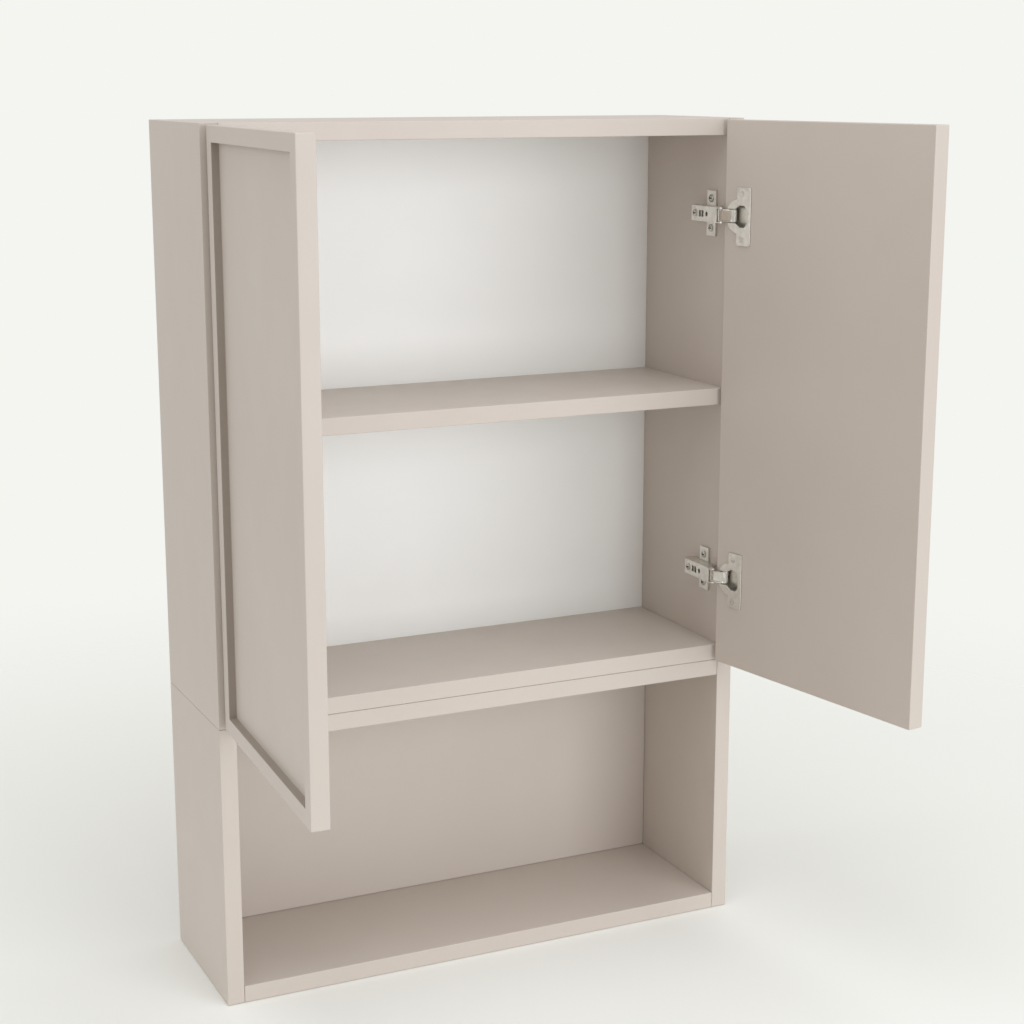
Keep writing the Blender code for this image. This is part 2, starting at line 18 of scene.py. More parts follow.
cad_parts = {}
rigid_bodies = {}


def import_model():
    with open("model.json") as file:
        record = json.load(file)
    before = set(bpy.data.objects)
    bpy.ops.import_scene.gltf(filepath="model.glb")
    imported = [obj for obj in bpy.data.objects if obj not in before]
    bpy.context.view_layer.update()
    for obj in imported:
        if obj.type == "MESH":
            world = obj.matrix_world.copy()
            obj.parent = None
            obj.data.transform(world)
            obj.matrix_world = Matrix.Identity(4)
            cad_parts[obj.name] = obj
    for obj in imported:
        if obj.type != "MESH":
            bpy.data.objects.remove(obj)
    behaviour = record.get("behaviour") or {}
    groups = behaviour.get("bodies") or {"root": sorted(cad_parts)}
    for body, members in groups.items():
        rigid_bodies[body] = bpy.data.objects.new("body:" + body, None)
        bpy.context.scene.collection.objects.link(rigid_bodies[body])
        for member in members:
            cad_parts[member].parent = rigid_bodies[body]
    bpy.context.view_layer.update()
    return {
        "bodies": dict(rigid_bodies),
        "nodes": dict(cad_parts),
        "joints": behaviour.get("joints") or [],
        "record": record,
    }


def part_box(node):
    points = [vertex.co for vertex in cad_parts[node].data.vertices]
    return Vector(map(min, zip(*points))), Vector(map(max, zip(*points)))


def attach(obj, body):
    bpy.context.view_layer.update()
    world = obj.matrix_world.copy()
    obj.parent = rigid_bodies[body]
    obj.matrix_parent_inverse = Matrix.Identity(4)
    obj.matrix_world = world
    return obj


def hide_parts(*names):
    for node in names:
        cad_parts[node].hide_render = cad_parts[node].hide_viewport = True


LOG = logging.getLogger("rack")
MM = 0.001

Input = bpy.types.NodeSocket | float | tuple[float, ...]


class Side(Enum):
    """The two sides of the rack, with the sign of their x."""

    LEFT = -1
    RIGHT = 1

    @property
    def word(self) -> str:
        """The side's name as the frame spells it."""
        return self.name.lower()


# ---------------------------------------------------------------------------------------------
# Materials
# ---------------------------------------------------------------------------------------------


def linear(colour: str) -> tuple[float, float, float, float]:
    """Turns an sRGB hex colour into Blender's linear colour.

    Args:
        colour: Six hex digits after a hash.

    Returns:
        Linear red, green, blue and an alpha of 1.
    """
    values = np.array([int(colour[i : i + 2], 16) for i in (1, 3, 5)]) / 255
    low = values / 12.92
    high = ((values + 0.055) / 1.055) ** 2.4
    return (*np.where(values <= 0.04045, low, high).tolist(), 1.0)


def add_node(
    tree: bpy.types.NodeTree, kind: str, inputs: dict | None = None, **settings: object
) -> bpy.types.Node:
    """Adds one node with its settings, values and links.

    Args:
        tree: The node tree that gets the node.
        kind: The node's type name.
        inputs: Value or incoming socket for each input, by name or number.
        **settings: Properties of the node itself.

    Returns:
        The new node.
    """
    node = tree.nodes.new(kind)
    for name, value in settings.items():
        setattr(node, name, value)
    for name, value in (inputs or {}).items():
        if isinstance(value, bpy.types.NodeSocket):
            tree.links.new(value, node.inputs[name])
        else:
            node.inputs[name].default_value = value
    return node


def blank_material(name: str) -> tuple[bpy.types.Material, bpy.types.NodeTree, bpy.types.Node]:
    """Makes a material with only its Principled shader and output.

    Args:
        name: The material's name.

    Returns:
        The material, its node tree and its Principled shader.
    """
    material = bpy.data.materials.new(name)
    material.use_nodes = True
    tree = material.node_tree
    return material, tree, tree.nodes["Principled BSDF"]


def noise(
    tree: bpy.types.NodeTree, where: bpy.types.NodeSocket, size: float, detail: float = 2.0
) -> bpy.types.NodeSocket:
    """Adds a noise whose blotches are about a given size.

    Args:
        tree: The node tree.
        where: The coordinates in metres.
        size: Width of a blotch in metres.
        detail: Octaves of finer noise.

    Returns:
        The noise's factor socket.
    """
    inputs = {"Vector": where, "Scale": 1 / size, "Detail": detail, "Roughness": 0.5}
    return add_node(tree, "ShaderNodeTexNoise", inputs).outputs["Fac"]


def spread(
    tree: bpy.types.NodeTree, value: bpy.types.NodeSocket, low: float, high: float
) -> bpy.types.NodeSocket:
    """Maps the middle of a noise (0.3 to 0.7) onto a range.

    Args:
        tree: The node tree.
        value: The noise.
        low: Result at 0.3.
        high: Result at 0.7.

    Returns:
        The mapped socket.
    """
    inputs = {"Value": value, "From Min": 0.3, "From Max": 0.7, "To Min": low, "To Max": high}
    return add_node(tree, "ShaderNodeMapRange", inputs).outputs["Result"]


def mixed(tree: bpy.types.NodeTree, factor: Input, first: Input, second: Input) -> bpy.types.NodeSocket:
    """Mixes two colours.

    Args:
        tree: The node tree.
        factor: How much of the second colour.
        first: First colour or socket.
        second: Second colour or socket.

    Returns:
        The mixed colour socket.
    """
    node = add_node(tree, "ShaderNodeMix", data_type="RGBA")
    for index, value in ((0, factor), (6, first), (7, second)):
        if isinstance(value, bpy.types.NodeSocket):
            tree.links.new(value, node.inputs[index])
        else:
            node.inputs[index].default_value = value
    return node.outputs[2]


@dataclass(frozen=True)
class SatinLacquer:
    """Sprayed satin polyurethane lacquer on fibreboard: even, with a trace of orange peel."""

    name: str = "Satin taupe lacquer on fibreboard"
    colour: str = "#cdc3ba"
    shade: str = "#cbc0b7"
    roughness: float = 0.44
    mottle: float = 160 * MM
    peel: float = 1.6 * MM
    peel_height: float = 0.012 * MM

    def build(self) -> bpy.types.Material:
        """Builds the material.

        Returns:
            Slow colour drift for pigment, a speck of grain, and a faint peel that softens glints.
        """
        material, tree, shader = blank_material(self.name)
        where = add_node(tree, "ShaderNodeTexCoord").outputs["Object"]
        drift = spread(tree, noise(tree, where, self.mottle), 0.0, 1.0)
        colour = mixed(tree, drift, linear(self.colour), linear(self.shade))
        grain = spread(tree, noise(tree, where, 0.5 * MM), 0.0, 0.10)
        colour = mixed(tree, grain, colour, linear("#ab9f94"))
        tree.links.new(colour, shader.inputs["Base Color"])
        rough = noise(tree, where, 45 * MM)
        rough = spread(tree, rough, self.roughness - 0.03, self.roughness + 0.04)
        tree.links.new(rough, shader.inputs["Roughness"])
        inputs = {"Height": noise(tree, where, self.peel), "Distance": self.peel_height}
        bump = add_node(tree, "ShaderNodeBump", {**inputs, "Strength": 1.0})
        tree.links.new(bump.outputs["Normal"], shader.inputs["Normal"])
        shader.inputs["IOR"].default_value = 1.5
        return material


@dataclass(frozen=True)
class FacedHardboard:
    """Thin hardboard: smooth white melamine in front, bare brown fibres with a screen mark behind."""

    name: str = "White melamine-faced hardboard"
    colour: str = "#f7f7f5"
    shade: str = "#f5f5f3"
    fibre: str = "#a3825f"
    fibre_dark: str = "#84664b"
    rear: float = 88.9 * MM

    def build(self) -> bpy.types.Material:
        """Builds the material.

        Returns:
            White where y is in front of the rear face, brown fibre flecks on the rear face.
        """
        material, tree, shader = blank_material(self.name)
        where = add_node(tree, "ShaderNodeTexCoord").outputs["Object"]
        depth = add_node(tree, "ShaderNodeSeparateXYZ", {"Vector": where}).outputs["Y"]
        inputs = {0: depth, 1: self.rear}
        behind = add_node(tree, "ShaderNodeMath", inputs, operation="GREATER_THAN").outputs["Value"]
        drift = spread(tree, noise(tree, where, 90 * MM), 0.0, 1.0)
        front = mixed(tree, drift, linear(self.colour), linear(self.shade))
        flecks = spread(tree, noise(tree, where, 1.8 * MM, 4.0), 0.0, 1.0)
        back = mixed(tree, flecks, linear(self.fibre), linear(self.fibre_dark))
        tree.links.new(mixed(tree, behind, front, back), shader.inputs["Base Color"])
        inputs = {"Value": behind, "To Min": 0.36, "To Max": 0.82}
        rough = add_node(tree, "ShaderNodeMapRange", inputs).outputs["Result"]
        tree.links.new(rough, shader.inputs["Roughness"])
        inputs = {"Height": noise(tree, where, 1.2 * MM, 3.0), "Distance": 0.02 * MM, "Strength": 1.0}
        bump = add_node(tree, "ShaderNodeBump", inputs)
        tree.links.new(bump.outputs["Normal"], shader.inputs["Normal"])
        return material


@dataclass(frozen=True)
class PlatedSteel:
    """Plated steel: a metal whose gloss depends on how it was pressed, cast or barrel-plated."""

    name: str
    colour: str
    roughness: float
    grain: float = 0.9 * MM
    grain_height: float = 0.006 * MM
    drawn: tuple[float, float, float] = (1.0, 1.0, 1.0)
    soil: str = ""

    def build(self) -> bpy.types.Material:
        """Builds the material.

        Returns:
            A metal with cloudy roughness and a fine grain that is stretched where it was drawn. With a
            recess shade colour, the mesh's recess attribute (0 to 1) says where painted shade darkens it.
        """
        material, tree, shader = blank_material(self.name)
        where = add_node(tree, "ShaderNodeTexCoord").outputs["Object"]
        drawn = add_node(tree, "ShaderNodeMapping", {"Vector": where, "Scale": self.drawn})
        cloud = noise(tree, where, 6 * MM)
        dull = np.array(linear(self.colour)[:3]) * 0.86
        tint = mixed(tree, spread(tree, cloud, 0.0, 1.0), linear(self.colour), (*dull.tolist(), 1.0))
        if self.soil:
            # Painted shade: where the recess attribute is high, the colour darkens towards the recess shade
            # colour.
            depth = add_node(tree, "ShaderNodeAttribute", attribute_name="recess").outputs["Fac"]
            tint = mixed(tree, depth, tint, linear(self.soil))
        tree.links.new(tint, shader.inputs["Base Color"])
        rough = spread(tree, cloud, self.roughness - 0.04, self.roughness + 0.05)
        tree.links.new(rough, shader.inputs["Roughness"])
        height = noise(tree, drawn.outputs["Vector"], self.grain)
        bump = add_node(
            tree, "ShaderNodeBump", {"Height": height, "Distance": self.grain_height, "Strength": 1.0}
        )
        tree.links.new(bump.outputs["Normal"], shader.inputs["Normal"])
        shader.inputs["Metallic"].default_value = 1.0
        return material


@dataclass(frozen=True)
class BeechDowel:
    """Plain beech: pale, with short dark flecks along the grain."""

    name: str = "Plain beech"
    colour: str = "#c79f6f"
    fleck: str = "#9b7146"

    def build(self) -> bpy.types.Material:
        """Builds the material.

        Returns:
            Flecks about 0.4 mm wide, drawn out along x, which is the dowel's length.
        """
        material, tree, shader = blank_material(self.name)
        where = add_node(tree, "ShaderNodeTexCoord").outputs["Object"]
        along = add_node(tree, "ShaderNodeMapping", {"Vector": where, "Scale": (0.12, 1.0, 1.0)})
        flecks = noise(tree, along.outputs["Vector"], 0.4 * MM, 3.0)
        colour = mixed(tree, spread(tree, flecks, 0.0, 0.8), linear(self.colour), linear(self.fleck))
        tree.links.new(colour, shader.inputs["Base Color"])
        shader.inputs["Roughness"].default_value = 0.6
        return material


@dataclass(frozen=True)
class PaleFloor:
    """A matt off-white studio floor that fades into the background away from the rack."""

    name: str = "Matt white studio floor"
    colour: str = "#f6f6f2"
    near: float = 0.35
    far: float = 1.7

    def build(self) -> bpy.types.Material:
        """Builds the material.

        Returns:
            A diffuse white that turns clear between two distances from the rack.
        """
        material, tree, shader = blank_material(self.name)
        where = add_node(tree, "ShaderNodeTexCoord").outputs["Object"]
        distance = add_node(tree, "ShaderNodeVectorMath", {0: where}, operation="LENGTH").outputs["Value"]
        inputs = {"Value": distance, "From Min": self.near, "From Max": self.far}
        fade = add_node(tree, "ShaderNodeMapRange", inputs, interpolation_type="SMOOTHSTEP")
        drift = spread(tree, noise(tree, where, 0.7), 0.0, 0.25)
        colour = mixed(tree, drift, linear(self.colour), linear("#f2f2ee"))
        tree.links.new(colour, shader.inputs["Base Color"])
        shader.inputs["Roughness"].default_value = 0.7
        clear = add_node(tree, "ShaderNodeBsdfTransparent")
        inputs = {0: fade.outputs["Result"], 1: shader.outputs["BSDF"], 2: clear.outputs["BSDF"]}
        blend = add_node(tree, "ShaderNodeMixShader", inputs)
        output = tree.nodes["Material Output"]
        tree.links.new(blend.outputs["Shader"], output.inputs["Surface"])
        return material


@dataclass
class Finishes:
    """Every material of the object, built once."""

    lacquer: bpy.types.Material = field(init=False)
    routed: bpy.types.Material = field(init=False)
    back: bpy.types.Material = field(init=False)
    nickel: bpy.types.Material = field(init=False)
    link: bpy.types.Material = field(init=False)
    screw: bpy.types.Material = field(init=False)
    hanger: bpy.types.Material = field(init=False)
    beech: bpy.types.Material = field(init=False)

    def __post_init__(self) -> None:
        """Builds the materials."""
        self.lacquer = SatinLacquer().build()
        # A darker, rougher copy of the taupe lacquer for the door recess walls: the darker colour is
        # painted shade inside the recess.
        routed = "Thin lacquer on a routed fibreboard wall"
        self.routed = SatinLacquer(routed, "#a2978c", "#9e9287", roughness=0.6).build()
        self.back = FacedHardboard().build()
        self.nickel = PlatedSteel("Satin nickel-plated pressed steel", "#efece5", 0.36).build()
        self.link = PlatedSteel("Polished nickel-plated steel", "#e6e2da", 0.14, drawn=(1, 1, 0.1)).build()
        # The screws' near-black colour in their cross recesses is painted shade.
        self.screw = PlatedSteel("Bright zinc-plated screw steel", "#dedcd6", 0.25, soil="#2e2a27").build()
        self.hanger = PlatedSteel("Dull zinc-plated sheet steel", "#b9bab8", 0.42).build()
        self.beech = BeechDowel().build()


# ---------------------------------------------------------------------------------------------
# Surfaces
# ---------------------------------------------------------------------------------------------


def rounded_ring(width: np.ndarray, height: np.ndarray, radius: np.ndarray, steps: int) -> np.ndarray:
    """Rings of rounded rectangles about the origin.

    Each corner is a quarter circle of the ring's radius about a centre that is the half size less
    the radius from the middle, both ways.

    Args:
        width: Width of each ring.
        height: Height of each ring.
        radius: Corner radius of each ring.
        steps: Steps in a quarter circle.

    Returns:
        Points (rings, 4 * (steps + 1), 2), anticlockwise.
    """
    angle = np.arange(4)[:, None] * math.pi / 2 + np.linspace(0, math.pi / 2, steps + 1)
    sign_x = np.array([1, -1, -1, 1])[:, None]
    sign_y = np.array([1, 1, -1, -1])[:, None]
    half_x, half_y, corner = (np.asarray(v)[:, None, None] for v in (width / 2, height / 2, radius))
    x = sign_x * (half_x - corner) + corner * np.cos(angle)
    y = sign_y * (half_y - corner) + corner * np.sin(angle)
    return np.stack([x, y], axis=-1).reshape(len(width), -1, 2)


def quarter(radius: float, start: float, steps: int = 4) -> tuple[np.ndarray, np.ndarray]:
    """Cosine and sine of a quarter turn from an angle, times a radius.

    Args:
        radius: The radius.
        start: First angle, in radians.
        steps: Steps in the quarter turn.

    Returns:
        The two coordinates of the arc's points.
    """
    angle = start + np.linspace(0, math.pi / 2, steps + 1)
    return radius * np.cos(angle), radius * np.sin(angle)


def polar_radius(outline: np.ndarray, angles: np.ndarray) -> np.ndarray:
    """How far an outline is from the origin in given directions.

    The outline's corners are turned into angle and distance of its sides by sampling each side
    finely, and the distance is read off between the samples.

    Args:
        outline: Corner points (n, 2) round the origin, each seen from it.
        angles: Directions, from -pi to pi.

    Returns:
        The distances.
    """
    step = np.linspace(0, 1, 60, endpoint=False)[None, :, None]
    sides = outline[:, None] * (1 - step) + np.roll(outline, -1, axis=0)[:, None] * step
    points = sides.reshape(-1, 2)
    angle = np.arctan2(points[:, 1], points[:, 0])
    order = np.argsort(angle)
    return np.interp(angles, angle[order], np.hypot(*points[order].T), period=2 * math.pi)


def skin(rings: np.ndarray, name: str) -> bpy.types.Mesh:
    """A closed mesh over a stack of closed rings, with a flat cap on each end.

    Args:
        rings: Points (rings, points, 3).
        name: The mesh's name.

    Returns:
        The mesh, its faces pointing out.
    """
    count, size, _ = rings.shape
    index = np.arange(count * size).reshape(count, size)
    turned = np.roll(index, -1, axis=1)
    quads = np.stack([index[:-1], turned[:-1], turned[1:], index[1:]], axis=-1).reshape(-1, 4)
    points = rings.reshape(-1, 3)
    middle = points.mean(axis=0)
    a, b, c = (points[quads[:, k]] - middle for k in (0, 1, 2))
    d = points[quads[:, 3]] - middle
    volume = (a * np.cross(b, c)).sum() + (a * np.cross(c, d)).sum()
    for ring, way in ((index[0], -1), (index[-1], 1)):
        flat = points[ring[::way]] - middle
        volume += (flat[0] * np.cross(flat[1:-1], flat[2:])).sum()
    faces = quads.tolist() + [index[0][::-1].tolist(), index[-1].tolist()]
    if volume < 0:
        faces = [face[::-1] for face in faces]
    mesh = bpy.data.meshes.new(name)
    mesh.from_pydata(points.tolist(), [], faces)
    mesh.validate()
    return mesh


def place_points(points: np.ndarray, matrix: Matrix) -> np.ndarray:
    """Moves an array of points by a matrix.

    Args:
        points: Points (..., 3).
        matrix: The 4 by 4 placement.

    Returns:
        The moved points.
    """
    placed = np.array(matrix)
    return points @ placed[:3, :3].T + placed[:3, 3]


@dataclass
class Piece:
    """One finished piece: its mesh, what it is made of and what it stands for."""

    name: str
    mesh: bpy.types.Mesh
    material: bpy.types.Material
    body: str
    slot: str
    nodes: tuple[str, ...]

    def make(self) -> bpy.types.Object:
        """Adds the piece to the scene, puts it on its body and hides the frame nodes it stands for.

        Returns:
            The piece's object.
        """
        made = bpy.data.objects.new(self.name, self.mesh)
        bpy.context.scene.collection.objects.link(made)
        self.mesh.materials.clear()
        self.mesh.materials.append(self.material)
        self.mesh.shade_smooth()
        self.mesh.set_sharp_from_angle(angle=math.radians(40))
        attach(made, self.body)
        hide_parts(*self.nodes)
        LOG.info("%s: %d faces, rides on %s", self.name, len(self.mesh.polygons), self.body)
        return made


def even_normals(piece: bpy.types.Object) -> None:
    """Lets the flat faces rule the shading, so that only the rounded edges catch the light.

    Args:
        piece: The piece to finish.
    """
    modifier = piece.modifiers.new("Even normals", "WEIGHTED_NORMAL")
    modifier.keep_sharp = True


def merged_copy(node: bpy.types.Object, name: str) -> bpy.types.Mesh:
    """A frame node's mesh as whole faces, ready for its edges to be rounded.

    Args:
        node: The frame node.
        name: The new mesh's name.

    Returns:
        A copy with its points merged and its flat faces joined up.
    """
    work = bmesh.new()
    work.from_mesh(node.data)
    bmesh.ops.remove_doubles(work, verts=work.verts, dist=0.002 * MM)
    flat = math.radians(0.5)
    bmesh.ops.dissolve_limit(work, angle_limit=flat, verts=work.verts, edges=work.edges)
    mesh = bpy.data.meshes.new(name)
    work.to_mesh(mesh)
    work.free()
    return mesh


# ---------------------------------------------------------------------------------------------
# Carcass
# ---------------------------------------------------------------------------------------------


@dataclass
class Carcass:
    """The boards of both modules, which keep their shape and take their finish."""

    frame: dict
    finishes: Finishes
    lacquered: tuple[str, ...] = (
        "upper_side_left",
        "upper_side_right",
        "upper_top_panel",
        "upper_bottom_panel",
        "shelf",
        "lower_side_left",
        "lower_side_right",
        "lower_top_panel",
        "lower_bottom_panel",
        "lower_back_panel",
    )

    def dress(self) -> None:
        """Gives each board, back and dowel its material."""
        for name in self.lacquered:
            self.finish(name, self.finishes.lacquer)
        self.finish("upper_back_panel", self.finishes.back)
        for name in self.frame["nodes"]:
            if name.startswith("shelf_dowel"):
                self.finish(name, self.finishes.beech)

    def finish(self, name: str, material: bpy.types.Material) -> None:
        """Puts a material on a frame node.

        Args:
            name: The node.
            material: Its material.
        """
        node = self.frame["nodes"][name]
        for slot in node.material_slots:
            slot.material = material
        LOG.info("%s: %s", name, material.name)

    def build_hangers(self) -> None:
        """Builds the two keyhole plates with their edges rounded."""
        for side in Side:
            node = f"wall_hanger_{side.word}"
            mesh = merged_copy(self.frame["nodes"][node], node)
            name = f"keyhole_hanger_{side.word}"
            piece = Piece(name, mesh, self.finishes.hanger, "cabinet", "hanger_steel", (node,)).make()
            round_edges(piece, 0.15 * MM)


def round_edges(piece: bpy.types.Object, width: float) -> None:
    """Rounds a pressed part's edges.

    Args:
        piece: The piece.
        width: Width of the rounding.
    """
    bevel = piece.modifiers.new("Rounded edges", "BEVEL")
    bevel.width = width
    bevel.segments = 3
    bevel.limit_method = "ANGLE"
    bevel.angle_limit = math.radians(40)
    bevel.use_clamp_overlap = True
    even_normals(piece)


# ---------------------------------------------------------------------------------------------
# Doors and hinges
# ---------------------------------------------------------------------------------------------


@dataclass
class Swing:
    """How one door hangs: its two pivots and where its parts are at rest."""

    side: Side
    joints: dict
    link_share: float = 0.5
    front: float = -90 * MM
    inner_half: float = 282 * MM
    edge_inward: float = -16.5 * MM
    standoff: float = 3 * MM

    def __post_init__(self) -> None:
        """Reads the pivots and the opening from the frame's joints."""
        word, sign = self.side.word, self.side.value
        door, link = self.joints[f"{word}_door_swing"], self.joints[f"{word}_link_swing"]
        opening = -math.radians(door["range_deg"][0]) / (1 + self.link_share)
        self.arm_pivot = Vector((*link["pos_m"][:2], 0.0))
        cup_rest = Vector((*door["pos_m"][:2], 0.0))
        back = Matrix.Rotation(sign * self.link_share * opening, 4, "Z")
        self.cup_pivot = self.arm_pivot + back @ (cup_rest - self.arm_pivot)
        turn = Matrix.Rotation(sign * opening, 4, "Z")
        to_cup, to_arm = Matrix.Translation(cup_rest), Matrix.Translation(self.arm_pivot)
        self.door_rest = to_cup @ turn @ Matrix.Translation(-self.cup_pivot)
        link_turn = Matrix.Rotation(-sign * self.link_share * opening, 4, "Z")
        self.link_rest = to_arm @ link_turn @ Matrix.Translation(-self.arm_pivot)

    def side_frame(self, height: float) -> Matrix:
        """The side panel's frame at a height: x inward, y forward, z up.

        Args:
            height: Height above the rack's underside.

        Returns:
            The placement.
        """
        sign = self.side.value
        turn = Matrix.Diagonal((-sign, -1.0, 1.0, 1.0))
        return Matrix.Translation((sign * self.inner_half, self.front, height)) @ turn

    def door_frame(self, height: float) -> Matrix:
        """The resting door's frame: x along it from its hinge edge, y into it, z up.

        Args:
            height: Height above the rack's underside.

        Returns:
            The placement.
        """
        shift = Matrix.Translation((self.edge_inward, self.standoff, 0.0))
        return self.door_rest @ self.side_frame(height) @ shift

    def facing(self, frame: Matrix, x: float, y: float, z: float, outward: Vector) -> Matrix:
        """A placement in a frame whose z axis points a given way.

        Args:
            frame: The frame.
            x: Place along x.
            y: Place along y.
            z: Place along z.
            outward: The direction of the new z axis, in the frame.

        Returns:
            The placement.
        """
        turn = Vector((0.0, 0.0, 1.0)).rotation_difference(outward).to_matrix().to_4x4()
        return frame @ Matrix.Translation((x, y, z)) @ turn


@dataclass
class Door:
    """A one-piece milled door with a narrow rim round a recessed field."""

    swing: Swing
    finishes: Finishes
    box: tuple
    width: float = 297 * MM
    board: float = 18 * MM
    rim: float = 16 * MM
    recess: float = 8 * MM
    edge_round: float = 0.9 * MM
    lip_round: float = 0.6 * MM
    floor_fillet: float = 0.8 * MM
    corner: float = 1.1 * MM
    pocket_radius: float = 17.5 * MM
    pocket_depth: float = 8.8 * MM
    pocket_from_edge: float = 22 * MM

    def profile(self) -> np.ndarray:
        """The section from the recess floor, over the rim and round to the inner face.

        The pairs are (inset from the outer edge, depth from the inner face). Each rounding is a
        quarter circle: concave at the floor, convex at the lip and at both outer edges.

        Returns:
            Points (n, 2).
        """
        deep = self.board - self.recess
        fillet_x, fillet_y = quarter(self.floor_fillet, -math.pi / 2)
        lip_x, lip_y = quarter(self.lip_round, 0.0)
        edge_x, edge_y = quarter(self.edge_round, 0.0)
        floor = self.rim + self.floor_fillet
        parts = [
            [(floor, deep)],
            np.c_[floor - fillet_x, deep + self.floor_fillet + fillet_y],
            np.c_[self.rim - self.lip_round + lip_x, self.board - self.lip_round + lip_y],
            np.c_[self.edge_round - edge_x[::-1], self.board - self.edge_round + edge_y[::-1]],
            np.c_[self.edge_round - edge_x, self.edge_round - edge_y],
        ]
        return np.concatenate([np.asarray(part, float) for part in parts])

    def build(self, heights: dict[str, float]) -> None:
        """Builds the door: the section is carried round a rectangle with slightly eased corners.

        Args:
            heights: The height of each hinge by its level.
        """
        section = self.profile()
        low, high = self.box[0][2], self.box[1][2]
        height = high - low
        inset, depth = section[:, 0], section[:, 1]
        radius = np.where(inset < self.rim / 2, self.corner, self.floor_fillet)
        flat = rounded_ring(self.width - 2 * inset, height - 2 * inset, radius, 3)
        rings = np.empty((*flat.shape[:2], 3))
        rings[..., 0] = flat[..., 0] + self.width / 2
        rings[..., 1] = depth[:, None]
        rings[..., 2] = flat[..., 1] + (low + high) / 2
        word = self.swing.side.word
        rings = place_points(rings, self.swing.door_frame(0.0))
        mesh = skin(rings, f"framed_door_{word}")
        piece = Piece(
            f"framed_door_{word}",
            mesh,
            self.finishes.lacquer,
            f"{word}_door",
            "taupe_lacquer",
            (f"door_{word}",),
        ).make()
        piece.data.materials.append(self.finishes.routed)
        # The bands of faces from the recess floor's fillet up to the lip get the darker lacquer: painted
        # shade on the recess walls.
        first_band, last_band = 1, 6
        finish = np.zeros(len(piece.data.polygons), int)
        finish[first_band * rings.shape[1] : last_band * rings.shape[1]] = 1
        piece.data.polygons.foreach_set("material_index", finish)
        for height_of_hinge in heights.values():
            self.bore(piece, height_of_hinge)
        even_normals(piece)

    def bore(self, piece: bpy.types.Object, height: float) -> None:
        """Bores one cup pocket into the door's inner face and keeps the result.

        Args:
            piece: The door.
            height: The hinge's height.
        """
        frame = self.swing.door_frame(height)
        angle = np.linspace(0, 2 * math.pi, 96, endpoint=False)
        ring = np.c_[self.pocket_radius * np.cos(angle), self.pocket_radius * np.sin(angle)]
        ends = np.array([-self.board, self.pocket_depth])
        rings = np.empty((2, len(angle), 3))
        rings[..., 0] = ring[:, 0] + self.pocket_from_edge
        rings[..., 1] = ends[:, None]
        rings[..., 2] = ring[:, 1]
        cutter = bpy.data.objects.new("pocket", skin(place_points(rings, frame), "pocket"))
        bpy.context.scene.collection.objects.link(cutter)
        cut = piece.modifiers.new("Pocket", "BOOLEAN")
        cut.object = cutter
        cut.operation = "DIFFERENCE"
        graph = bpy.context.evaluated_depsgraph_get()
        bored = bpy.data.meshes.new_from_object(piece.evaluated_get(graph))
        piece.modifiers.remove(cut)
        piece.data = bored
        bpy.data.objects.remove(cutter, do_unlink=True)


